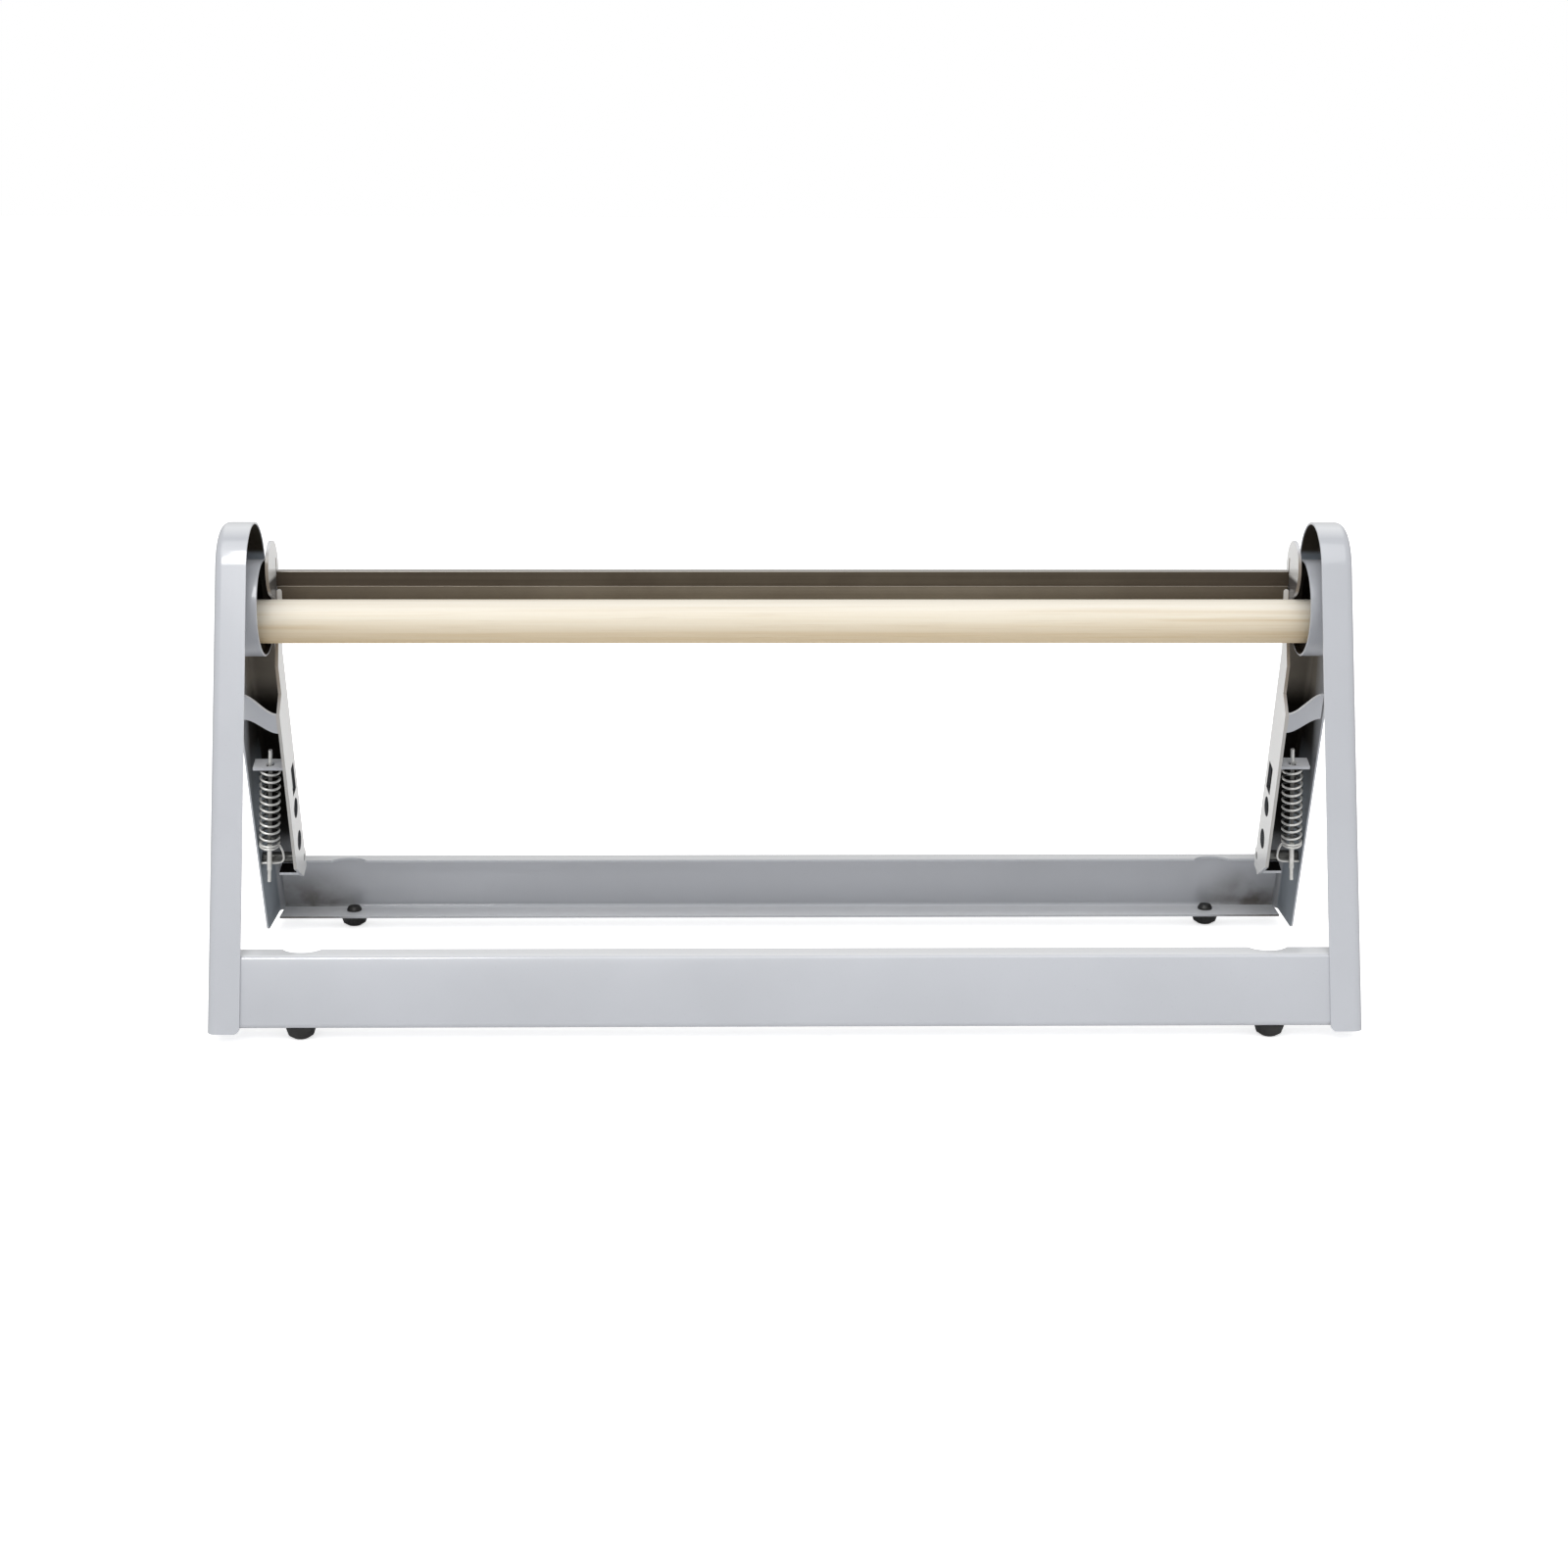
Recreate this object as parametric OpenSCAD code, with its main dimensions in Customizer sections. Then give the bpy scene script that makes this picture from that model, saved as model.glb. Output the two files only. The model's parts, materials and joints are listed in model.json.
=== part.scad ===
// Counter-top cutter for a wide roll of paper.
// Two pressed side frames, two cross plates, a loose wooden roll dowel in
// two cups, and a sprung blade carriage that swings behind the dowel.
// Millimetres. +X runs along the dowel, -Y is the front, +Z is up.
// The origin is on the counter, under the middle of the frame.

/* [Frame] */
// Overall width over the outer faces of the side frames
frame_w = 673; // [520:1:900]
// Depth of a side frame from front to back at the bottom
frame_d = 242; // [225:1:290]
// Height of a side frame above the bottom of its legs
frame_h = 280; // [268:1:310]
// Outer radius of the arch at the top of a side frame
arch_r = 32; // [28:0.5:38]
// Thickness of the pressed sheet
sheet = 1.3; // [1:0.1:1.6]
// Outer radius of the bend between web and lip
bend_r = 5; // [3.5:0.25:6]
// Depth of the lip that is turned inward round a side frame
lip_d = 19; // [16:0.5:22]
// Width of a leg, square to its slope
leg_w = 43; // [38:0.5:46]
// Radius at the top of the opening between the legs
opening_r = 20; // [14:0.5:24]
// Radius of the corner at the foot of a web's inner edge
web_corner_r = 4; // [2:0.5:6]
// Radius of the corner at the foot of a lip's free edge
lip_corner_r = 3.5; // [1:0.25:5]

/* [Cross plates] */
// Height of a cross plate's top above the bottom of the legs
cross_h = 42.3; // [34:0.1:50]
// Height of a cross plate's bottom above the bottom of the legs
cross_lift = 2; // [1:0.25:4]
// Depth of the bottom flange
bottom_flange = 26; // [24:0.5:32]
// Depth of the top flange
top_flange = 13; // [9:0.5:16]
// Outer radius of a cross plate's bends
cross_bend_r = 3; // [2:0.25:4]
// Radius of the notch over each foot in the top flange
notch_r = 13; // [8:0.5:16]

/* [Feet] */
// Distance of a foot in from the outer face of a side frame
foot_side = 52.5; // [40:0.5:180]
// Distance of a foot behind the face of its cross plate
foot_in = 14; // [12:0.5:16]
// Diameter of a foot
foot_dia = 18; // [14:0.5:20]
// Height of a foot below the bottom of the legs
foot_drop = 6.5; // [4:0.25:10]
// Diameter of the button that holds a foot in its flange
button_dia = 9.6; // [9:0.2:12]
// Diameter of a foot's neck
neck_dia = 7; // [5:0.25:8]
// Diameter of the flat under a foot
tread_dia = 9; // [6:0.5:12]

/* [Roll dowel and cups] */
// Outside diameter of a cup
cup_dia = 58.5; // [52:0.5:60]
// Wall of a cup
cup_wall = 1.5; // [1:0.1:2]
// How far a cup's centre lies below the arch's centre
cup_down = 19.8; // [16:0.2:24]
// How far a cup stands out from the inside of its side frame
cup_len = 22.4; // [20:0.2:24]
// Inside diameter of the rest deeper in a cup, which the dowel lies on
rest_dia = 43.9; // [40:0.1:48]
// Depth of the rest behind the cup's mouth
rest_deep = 5.5; // [5:0.1:6]
// Diameter of the dowel
dowel_dia = 26.5; // [24:0.5:27]
// How far each end of the dowel reaches into its cup
dowel_in = 10.2; // [8:0.2:12]
// Bevel on the dowel's ends
dowel_bevel = 1.2; // [0.5:0.1:2]
// Gap that the dowel keeps from what it lies in
seat_gap = 0.3; // [0.2:0.05:0.4]

/* [Blade carriage] */
// Thickness of a blade arm
arm_t = 2; // [1.6:0.1:2.4]
// Gap between a cup's mouth and the blade arm
arm_gap = 2.4; // [1:0.1:3]
// How much less the blade arms lean at rest than the legs, in degrees
arm_upright = 1.85; // [1:0.05:3]
// Width of an arm's strip
strip_w = 18.2; // [17:0.2:20]
// Height of an arm's lower datum above the bottom of the legs
arm_h = 53; // [51:0.5:55]
// Distance of the arm's lower datum in from the back of the frame, level
arm_in = 41.4; // [39:0.2:43]
// Length of an arm below its lower datum
arm_tail = 12; // [11.5:0.5:15]
// Radius of the ear at the top of an arm
ear_r = 17; // [15:0.5:18]
// How far the ear's centre lies behind the cups' centre
ear_back = 8; // [6:0.5:9]
// How far the ear's centre lies above the cups' centre
ear_up = 22.4; // [21:0.2:26]
// Gap between the dowel and the front of the blade
blade_gap = 1.6; // [1.4:0.1:2]
// Thickness of the cutting blade
blade_t = 1.2; // [0.8:0.1:1.5]
// Height of the cutting blade
blade_h = 26; // [20:0.5:30]
// Thickness of the blade bar
bar_t = 2; // [1.5:0.1:2.5]
// Height of the blade bar's face
bar_h = 30; // [26:0.5:34]
// Depth of the lip along the top of the blade bar
bar_lip = 7; // [4:0.5:9]
// How far the blade's top edge lies below the bar's top
blade_down = 9; // [6:0.5:12]
// Height of the bar's top above the cups' centre
bar_up = 19.4; // [18:0.2:21]
// Height of the tenon at each end of the bar
tenon_h = 9; // [6:0.5:10]

/* [Lug, tab and foot flange] */
// Distance of the stop lug's middle up the arm
lug_s = 113; // [108:1:120]
// Height of the stop lug
lug_h = 13.2; // [10:0.2:16]
// How far the stop lug reaches out from the arm
lug_len = 20; // [16:0.5:21]
// How far the lug's lower edge climbs towards its outer end
lug_rise = 10; // [6:0.5:12]
// How much taller the lug is at its outer end
lug_flare = 4; // [2:0.5:5]
// How far the lug, and the plate below it, stand forward of the strip
lug_fwd = 12.5; // [8:0.5:14]
// Distance of the tab up the arm
tab_s = 72; // [68:0.5:78]
// Width of the lanced tab
tab_w = 11; // [10:0.5:12]
// How far the tab reaches out from the arm
tab_len = 21.5; // [18:0.5:22]
// Radius of the hole in the tab
tab_hole_r = 2.8; // [2.4:0.1:3]
// Diameter of the round lightening holes
light_dia = 13; // [8:0.5:14]
// How far the foot flange reaches out from the arm
foot_flange = 13.6; // [12:0.2:16]

/* [Springs and pivots] */
// Diameter of the spring wire
wire_dia = 1.5; // [1.2:0.1:1.6]
// Outside diameter of a spring's coil
coil_dia = 13.6; // [12:0.2:14]
// Number of open curls in a coil
open_curls = 10; // [7:1:12]
// Number of closed curls at the bottom of a coil
closed_curls = 1.5; // [1:0.5:2]
// Diameter of a spring rod
rod_dia = 2.4; // [2:0.1:2.6]
// Distance of a spring rod out from the arm, where it passes the tab
rod_out = 11.3; // [10:0.1:12]
// Diameter of the sleeve round a spring rod's lower end
sleeve_dia = 3.2; // [3:0.1:3.4]
// How far a rod's lower end leans out along its length, as a slope
rod_slope = 0.106; // [0.09:0.002:0.11]
// Diameter of a pivot pin
pin_dia = 5; // [4:0.25:5.5]
// Diameter of a pivot spacer
spacer_dia = 7.2; // [6.8:0.1:7.5]
// Distance of the pivot behind the middle of the strip
pivot_back = 5.6; // [5:0.1:6]
// Radial running clearance of a pin in its hole
run_gap = 0.05; // [0.02:0.01:0.1]

/* [Hidden] */
$fn = 96;
lean = atan2(frame_d / 2, frame_h - arch_r)
    - asin(arch_r / norm([frame_d / 2, frame_h - arch_r]));
half_w = frame_w / 2;
web_in = half_w - sheet;
arch_z = frame_h - arch_r;
over = 1;
tuck = 0.02;

foot_x = half_w - foot_side;

cup_h = arch_z - cup_down;
cup_r = cup_dia / 2;
bore_r = cup_r - cup_wall;
rest_r = rest_dia / 2;
cup_mouth = web_in - cup_len;
dowel_r = dowel_dia / 2;
dowel_z = cup_h - rest_r + dowel_r + seat_gap;
dowel_half = cup_mouth + dowel_in;

arm_out = cup_mouth - arm_gap;
arm_face = arm_out - arm_t;
arm_lean = lean - arm_upright;
arm_y = frame_d / 2 - arm_h * tan(lean) - arm_in;
strip_front = -strip_w / 2;
strip_back = strip_w / 2;
plate_front = strip_front - lug_fwd;
plate_foot = 6;
plate_rise = 7.5;
flange_in = 0.5;
lug_steps = 14;
holes_p = -4;
hole_places = [41, 16.5];

blade_y = dowel_r + blade_gap;
bar_y = blade_y + blade_t;
bar_top = cup_h + bar_up;
blade_top = bar_top - blade_down;

rod_p = -3;
flange_w = strip_back - rod_p - 2 * flange_in;
rod_r = rod_dia / 2;
sleeve_r = sleeve_dia / 2;
rod_x_tab = arm_out + rod_out;
rod_top_s = tab_s + 12;
rod_end_s = -16;
sleeve_end_s = -7;
wire_r = wire_dia / 2;
coil_r = (coil_dia - wire_dia) / 2;
coil_low_s = 12;
coil_top_s = tab_s - arm_t / 2 - wire_r - seat_gap;
closed_pitch = wire_dia + 0.45;
open_pitch = (coil_top_s - coil_low_s - closed_curls * closed_pitch) / open_curls;
tail_s = -3.5;
tail_p = rod_p + sleeve_r + wire_r + seat_gap;
pivot_s = -3;
lobe_wall = 3.4;
pivot_lobe = pin_dia / 2 + lobe_wall;

cross_half = web_in - bend_r + sheet - seat_gap;
finger_in = 3.2;
finger_h = 11;
rod_tilt = -atan(rod_slope);
ring_count = 8;
wire_sides = 6;
curls = open_curls + closed_curls;

sheet_paint = [0.79, 0.80, 0.84];
bar_steel = [0.36, 0.33, 0.30];
blade_steel = [0.45, 0.42, 0.39];
zinc = [0.82, 0.82, 0.80];
wood = [0.93, 0.86, 0.71];
rubber = [0.07, 0.07, 0.07];

// Lifts a piece from the bottom of the legs to the counter
module on_feet() {
    translate([0, 0, foot_drop]) children();
}

// Draws a right-hand piece on the left
module left_hand() {
    mirror([1, 0, 0]) children();
}

// Stands a flat shape, drawn as level and height, in the plane x
module upright(x, thick) {
    translate([x, 0, 0])
        rotate([90, 0, 90])
            linear_extrude(thick) children();
}

// Moves to a blade arm's lower datum, with +Z up the arm and +Y behind it
module along_arm() {
    translate([0, arm_y, arm_h])
        rotate([arm_lean, 0, 0]) children();
}

// A cylinder along X from one place to another
module bar_x(x0, x1, r) {
    translate([x0, 0, 0])
        rotate([0, 90, 0])
            cylinder(h = x1 - x0, r = r);
}

// A point of an arm, given across and up the arm, as level and height
function arm_point(p, s) = [
    arm_y + p * cos(arm_lean) - s * sin(arm_lean),
    arm_h + p * sin(arm_lean) + s * cos(arm_lean)
];

// The section of web, bend and lip, drawn inward and across the leg
module lip_section() {
    translate([0, bend_r]) square([sheet, bend_r]);
    translate([bend_r, 0]) square([lip_d - bend_r, sheet]);
    translate([bend_r, bend_r])
        intersection() {
            difference() {
                circle(bend_r);
                circle(bend_r - sheet);
            }
            translate([-bend_r, -bend_r]) square(bend_r);
        }
}

// The same section beside the arch's middle, with its height as depth inward
module arch_section() {
    translate([arch_r, 0]) mirror([1, 0]) rotate(90) mirror([0, 1]) lip_section();
}

// Moves to where the front leg meets the arch: +X square to the leg, +Y up it
module at_front_leg() {
    translate([half_w, 0, arch_z])
        rotate([0, -90, 0])
            rotate([0, 0, lean - 90]) children();
}

// The lip down the front leg, long enough to be trimmed level
module leg_lip() {
    reach = norm([frame_d / 2, arch_z]);
    leg_len = sqrt(reach * reach - arch_r * arch_r);
    at_front_leg()
        rotate([90, 0, 0])
            linear_extrude(leg_len + 2 * bend_r) arch_section();
}

// The lip round the arch, down to where the legs begin
module arch_lip() {
    difference() {
        translate([half_w, 0, arch_z])
            rotate([0, -90, 0])
                rotate([0, 0, 180])
                    rotate_extrude() arch_section();
        for (front = [true, false])
            mirror([0, front ? 0 : 1, 0])
                at_front_leg()
                    translate([-2 * arch_r, -4 * arch_r, -over])
                        cube([4 * arch_r, 4 * arch_r, lip_d + 2 * over]);
    }
}

// Outline of the web, ending within the strip that its lips carry
module web_outline() {
    edge_in = 1.4 * bend_r;
    arch_in = 1.8 * bend_r;
    foot_y = frame_d / 2 - edge_in / cos(lean);
    arch_y = (arch_r - arch_in) / cos(lean);
    polygon([[-foot_y, 0], [-arch_y, arch_z], [arch_y, arch_z], [foot_y, 0]]);
    translate([0, arch_z]) circle(arch_r - edge_in);
}

// The opening between the legs
module leg_opening() {
    foot_y = frame_d / 2 - leg_w / cos(lean);
    peak_z = foot_y / tan(lean);
    round_z = peak_z - opening_r / sin(lean);
    side_y = (opening_r - tuck) * cos(lean);
    side_z = round_z + (opening_r - tuck) * sin(lean);
    low_y = foot_y + over * tan(lean);
    polygon([[-low_y, -over], [-side_y, side_z], [side_y, side_z], [low_y, -over]]);
    translate([0, round_z]) circle(opening_r);
    for (side = [-1, 1])
        scale([side, 1])
            web_corner(foot_y);
}

// What the rounded corner takes off the foot of a web's inner edge
module web_corner(foot_y) {
    run = web_corner_r / tan((90 + lean) / 2);
    past = web_corner_r + over;
    difference() {
        polygon([
            [foot_y - past, -over], [foot_y + run, -over],
            [foot_y + run, web_corner_r],
            [foot_y + run - past * cos(lean), web_corner_r - past * sin(lean)]
        ]);
        translate([foot_y + run, web_corner_r]) circle(web_corner_r + tuck);
    }
}

// What the rounded corner takes off the foot of the lips' free edges
module lip_corner() {
    rotate([90, 0, 0])
        linear_extrude(frame_d + 2 * over, center = true)
            difference() {
                translate([half_w - lip_d - over, -over])
                    square([lip_corner_r + over, lip_corner_r + over]);
                translate([half_w - lip_d + lip_corner_r, lip_corner_r])
                    circle(lip_corner_r + tuck);
            }
}

module side_frame() {
    color(sheet_paint)
        on_feet()
            difference() {
                union() {
                    leg_lip();
                    mirror([0, 1, 0]) leg_lip();
                    arch_lip();
                    upright(web_in, sheet)
                        difference() {
                            web_outline();
                            leg_opening();
                        }
                }
                translate([0, -frame_d, -frame_h])
                    cube([frame_w, 2 * frame_d, frame_h]);
                lip_corner();
                along_arm() {
                    translate([0, pivot_back, pivot_s])
                        bar_x(web_in - over, half_w + over, pin_dia / 2);
                    translate([0, tail_p, tail_s])
                        bar_x(web_in - over, half_w + over, wire_r + run_gap);
                }
            }
}

// Section of a cross plate in level and height, its face on the front legs
module cross_section() {
    face = sheet / cos(lean);
    low_y = cross_lift * tan(lean) + face;
    top_y = cross_h * tan(lean) + face;
    polygon([
        [low_y, cross_lift], [low_y + bottom_flange, cross_lift],
        [low_y + bottom_flange, cross_lift + sheet],
        [low_y + sheet * tan(lean) + face, cross_lift + sheet],
        [top_y - sheet * tan(lean) + face, cross_h - sheet],
        [top_y + top_flange, cross_h - sheet],
        [top_y + top_flange, cross_h], [top_y, cross_h]
    ]);
}

// What lies between a sharp corner and its round, where two sides meet at an angle
module corner_round(y, z, angle, r) {
    run = r / tan(angle / 2);
    translate([y, z])
        difference() {
            polygon([[-over, -over], [run, -over], [run, r], [run * cos(angle), run * sin(angle)]]);
            translate([run, r]) circle(r + tuck);
        }
}

// The section with both bends filled inside and rounded outside
module bent_section() {
    face = sheet / cos(lean);
    low_y = cross_lift * tan(lean) + face;
    top_y = cross_h * tan(lean) + face;
    inner_r = cross_bend_r - sheet;
    difference() {
        union() {
            cross_section();
            corner_round(low_y + sheet * tan(lean) + face, cross_lift + sheet, 90 - lean, inner_r);
            mirror([0, 1])
                corner_round(top_y - sheet * tan(lean) + face, sheet - cross_h, 90 + lean, inner_r);
        }
        corner_round(low_y, cross_lift, 90 - lean, cross_bend_r);
        mirror([0, 1]) corner_round(top_y, -cross_h, 90 + lean, cross_bend_r);
    }
}

module cross_plate(front) {
    top_y = cross_h * tan(lean) + sheet / cos(lean);
    color(sheet_paint)
        on_feet()
            rotate([0, 0, front ? 0 : 180])
                translate([0, -frame_d / 2, 0])
                    difference() {
                        upright(-cross_half, 2 * cross_half) bent_section();
                        for (side = [-1, 1]) {
                            translate([side * foot_x, foot_in, cross_lift - over])
                                cylinder(h = sheet + 2 * over, r = neck_dia / 2);
                            translate([side * foot_x, top_y + top_flange + notch_r / 2, cross_h - sheet - over])
                                cylinder(h = sheet + 2 * over, r = notch_r);
                        }
                    }
}

// A push-in foot: dome and flat tread below, neck and button above
module foot(front, side) {
    seat_z = cross_lift;
    bead = 1.6;
    dome_r = foot_dia / 2;
    drop = foot_drop + seat_z;
    low = drop - bead;
    color(rubber)
        on_feet()
            rotate([0, 0, front ? 0 : 180])
                translate([side * foot_x, foot_in - frame_d / 2, seat_z])
                    rotate_extrude() {
                        polygon([
                            [0, -drop], [tread_dia / 2, -drop],
                            [tread_dia / 2 + low * 0.42, -drop + low * 0.28],
                            [dome_r - 0.6, -drop + low * 0.72],
                            [dome_r, -bead], [dome_r, -0.5], [dome_r - 0.5, 0],
                            [neck_dia / 2, 0], [neck_dia / 2, sheet],
                            [button_dia / 2, sheet], [button_dia / 2, sheet + 1.2],
                            [button_dia / 2 - 1.2, sheet + 3], [0, sheet + 3.8]
                        ]);
                    }
}

// A tube on the web, with a cone inside that leads down to the dowel's rest
module roll_cup() {
    rim_ease = 0.4;
    cone_deep = 2.5;
    color(sheet_paint)
        on_feet()
            translate([cup_mouth, 0, cup_h])
                rotate([0, 90, 0])
                    rotate_extrude()
                        polygon([
                            [bore_r + rim_ease, 0], [cup_r - rim_ease, 0], [cup_r, rim_ease],
                            [cup_r, cup_len], [rest_r, cup_len], [rest_r, rest_deep],
                            [bore_r, rest_deep - cone_deep], [bore_r, rim_ease]
                        ]);
}

module roll_dowel() {
    color(wood)
        on_feet()
            translate([-dowel_half, 0, dowel_z])
                rotate([0, 90, 0])
                    rotate_extrude()
                        polygon([
                            [0, 0], [dowel_r - dowel_bevel, 0], [dowel_r, dowel_bevel],
                            [dowel_r, 2 * dowel_half - dowel_bevel],
                            [dowel_r - dowel_bevel, 2 * dowel_half], [0, 2 * dowel_half]
                        ]);
}

// Outline of a blade arm's plate: strip, neck behind the dowel and ear
module arm_outline() {
    ear_y = ear_back;
    ear_z = cup_h + ear_up;
    strip_top = (dowel_z - 2 * dowel_r - arm_h) / cos(arm_lean);
    neck_y = dowel_r + blade_gap - run_gap;
    neck_h = 0.65 * dowel_r;
    chin_turn = 36;
    polygon([
        arm_point(rod_p, -arm_tail), arm_point(plate_front, plate_foot),
        arm_point(plate_front, lug_s + lug_h / 2),
        arm_point(strip_front, lug_s + lug_h / 2 + plate_rise), arm_point(strip_front, strip_top),
        [neck_y, dowel_z - neck_h], [neck_y, dowel_z + neck_h],
        [ear_y - ear_r * sin(chin_turn), ear_z - ear_r * cos(chin_turn)],
        [ear_y, ear_z], [ear_y + ear_r, ear_z],
        arm_point(strip_back, strip_top), arm_point(strip_back, -arm_tail)
    ]);
    translate([ear_y, ear_z]) circle(ear_r);
    translate(arm_point(pivot_back, pivot_s)) circle(pivot_lobe);
}

// A point of an edge of the lug, which climbs in a soft S
function lug_climb(part, start, climb) =
    [part * lug_len, start + climb * (3 - 2 * part) * part * part];

// The lug, seen along the arm's own depth: out from the arm and up it
module lug_outline() {
    low = lug_s - lug_h / 2;
    high = lug_s + lug_h / 2;
    lower = [for (i = [0 : lug_steps]) lug_climb(i / lug_steps, low, lug_rise)];
    upper = [for (i = [lug_steps : -1 : 0]) lug_climb(i / lug_steps, high, lug_rise + lug_flare)];
    polygon(concat([[-arm_t, low]], lower, upper, [[-arm_t, high]]));
}

module blade_arm() {
    window_h = tab_len - 2;
    window_top = tab_s - arm_t / 2;
    tab_p = rod_p + 0.9;
    color(sheet_paint)
        on_feet()
            difference() {
                union() {
                    upright(arm_face, arm_t) arm_outline();
                    along_arm() {
                        translate([arm_out, plate_front, 0])
                            rotate([90, 0, 0])
                                translate([0, 0, -arm_t])
                                    linear_extrude(arm_t) lug_outline();
                        translate([arm_face, tab_p - tab_w / 2, tab_s - arm_t / 2])
                            cube([arm_t + tab_len, tab_w, arm_t]);
                        translate([arm_face + flange_in, rod_p + flange_in, flange_in - arm_tail])
                            cube([arm_t + foot_flange - flange_in, flange_w, arm_t]);
                    }
                    finger();
                }
                along_arm() {
                    translate([0, pivot_back, pivot_s])
                        bar_x(arm_face - over, arm_out + over, pin_dia / 2 + run_gap);
                    translate([rod_x_tab, rod_p, tab_s - arm_t])
                        cylinder(h = 2 * arm_t, r = tab_hole_r);
                    for (s = hole_places)
                        translate([0, holes_p, s])
                            bar_x(arm_face - over, arm_out + over, light_dia / 2);
                    translate([arm_face - over, tab_p - tab_w / 2, window_top - window_h])
                        cube([arm_t + 2 * over, tab_w, window_h]);
                }
                bar_slot();
            }
}

// The slot in an ear: the bar's tenon fills its foot and the rest stays open
module bar_slot() {
    translate([arm_face - over, bar_y, bar_top - tenon_h])
        cube([arm_t + 2 * over, bar_t, tenon_h + 8]);
}

// The finger that is turned inward in front of the blade's end
module finger() {
    finger_y = blade_y - blade_t - seat_gap;
    finger_low = dowel_z + dowel_r - finger_h / 2 - finger_in / 2;
    translate([arm_face - finger_in, finger_y, finger_low])
        union() {
            cube([finger_in + arm_t, blade_t, finger_h - finger_in / 2]);
            translate([finger_in / 2, 0, finger_h - finger_in / 2])
                rotate([-90, 0, 0]) cylinder(h = blade_t, r = finger_in / 2);
        }
}

module blade_bar() {
    side = seat_gap / 2;
    color(bar_steel)
        on_feet()
            union() {
                translate([-arm_face + side, bar_y, bar_top - bar_h])
                    cube([2 * (arm_face - side), bar_t, bar_h]);
                translate([-arm_face + side, bar_y, bar_top - bar_t])
                    cube([2 * (arm_face - side), bar_lip, bar_t]);
                translate([-arm_out - 1, bar_y, bar_top - tenon_h])
                    cube([2 * (arm_out + 1), bar_t, tenon_h - bar_t]);
            }
}

// The cutting strip, bevelled to an edge along its foot
module cutting_blade() {
    bevel_h = 4;
    half = arm_face - 0.4;
    color(blade_steel)
        on_feet()
            upright(-half, 2 * half)
                polygon([
                    [blade_y, blade_top - blade_h + 0.2],
                    [blade_y + 0.15, blade_top - blade_h],
                    [bar_y, blade_top - blade_h + bevel_h],
                    [bar_y, blade_top], [blade_y, blade_top]
                ]);
}

module pivot_pin() {
    color(zinc)
        on_feet()
            along_arm()
                translate([0, pivot_back, pivot_s])
                    bar_x(arm_face, half_w, pin_dia / 2);
}

module pivot_spacer() {
    color(zinc)
        on_feet()
            along_arm()
                translate([0, pivot_back, pivot_s])
                    difference() {
                        bar_x(arm_out + seat_gap, web_in, spacer_dia / 2);
                        bar_x(arm_out, half_w, pin_dia / 2);
                    }
}

module spring_rod() {
    color(zinc)
        on_feet()
            along_arm()
                translate([rod_x(0), rod_p, 0])
                    rotate([0, rod_tilt, 0]) {
                        translate([0, 0, rod_end_s])
                            cylinder(h = rod_top_s - rod_end_s, r = rod_r);
                        translate([0, 0, sleeve_end_s])
                            cylinder(h = coil_low_s - sleeve_end_s + wire_dia, r = sleeve_r);
                    }
}

// Place on the rod's line, out from the middle, at a distance up the arm
function rod_x(s) = rod_x_tab + (tab_s - s) * rod_slope;

// Points along the spring's wire, in the arm's own directions
function coil_s(turn) = turn < closed_curls
    ? coil_low_s + turn * closed_pitch
    : coil_low_s + closed_curls * closed_pitch + (turn - closed_curls) * open_pitch;
function coil_point(turn) =
    let (s = coil_s(turn), a = 180 + 360 * turn)
        [rod_x(s) + coil_r * cos(a), rod_p + coil_r * sin(a), s];
coil_path = [for (i = [0 : ring_count * curls]) coil_point(i / ring_count)];
tail_path = [
    [web_in + sheet / 2, tail_p, tail_s],
    [web_in - wire_dia, tail_p, tail_s],
    [rod_x(0) - coil_r + 1, tail_p, tail_s],
    [rod_x(0) - coil_r - 2, tail_p, tail_s + 1],
    [rod_x(0) - coil_r - 3.2, tail_p - 0.3, tail_s + 4],
    [rod_x(0) - coil_r - 2.6, tail_p + 0.6, tail_s + 9],
    [rod_x(0) - coil_r - 0.6, tail_p + 1.2, tail_s + 13]
];
end_turn = coil_path[len(coil_path) - 1] - coil_path[len(coil_path) - 2];
end_path = [coil_path[len(coil_path) - 1] + wire_dia * end_turn / norm(end_turn)];
wire_path = concat(tail_path, coil_path, end_path);

function unit(v) = v / norm(v);
function heading(path, i) = unit(
    path[min(i + 1, len(path) - 1)] - path[max(i - 1, 0)]);
// A steady side for each ring, carried along the path
function carried(side, dir) = unit(side - (side * dir) * dir);
function sides(path, i, side) = i >= len(path) ? [] :
    let (now = carried(side, heading(path, i)))
        concat([now], sides(path, i + 1, now));

module tube(path, r) {
    sides_of = sides(path, 0, [0, 0, 1]);
    count = len(path);
    points = [
        for (i = [0 : count - 1])
            let (dir = heading(path, i), u = sides_of[i], v = cross(dir, u))
                for (k = [0 : wire_sides - 1])
                    let (a = 360 * k / wire_sides)
                        path[i] + r * (cos(a) * u + sin(a) * v)
    ];
    walls = [
        for (i = [0 : count - 2])
            for (k = [0 : wire_sides - 1])
                let (
                    a = i * wire_sides + k,
                    b = i * wire_sides + (k + 1) % wire_sides
                )
                    each [[a, a + wire_sides, b], [b, a + wire_sides, b + wire_sides]]
    ];
    first = [for (k = [1 : wire_sides - 2]) [0, k, k + 1]];
    base = (count - 1) * wire_sides;
    last = [for (k = [1 : wire_sides - 2]) [base, base + k + 1, base + k]];
    polyhedron(points, concat(walls, first, last));
}

module spring() {
    color(zinc)
        on_feet()
            along_arm()
                tube(wire_path, wire_r);
}

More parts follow.
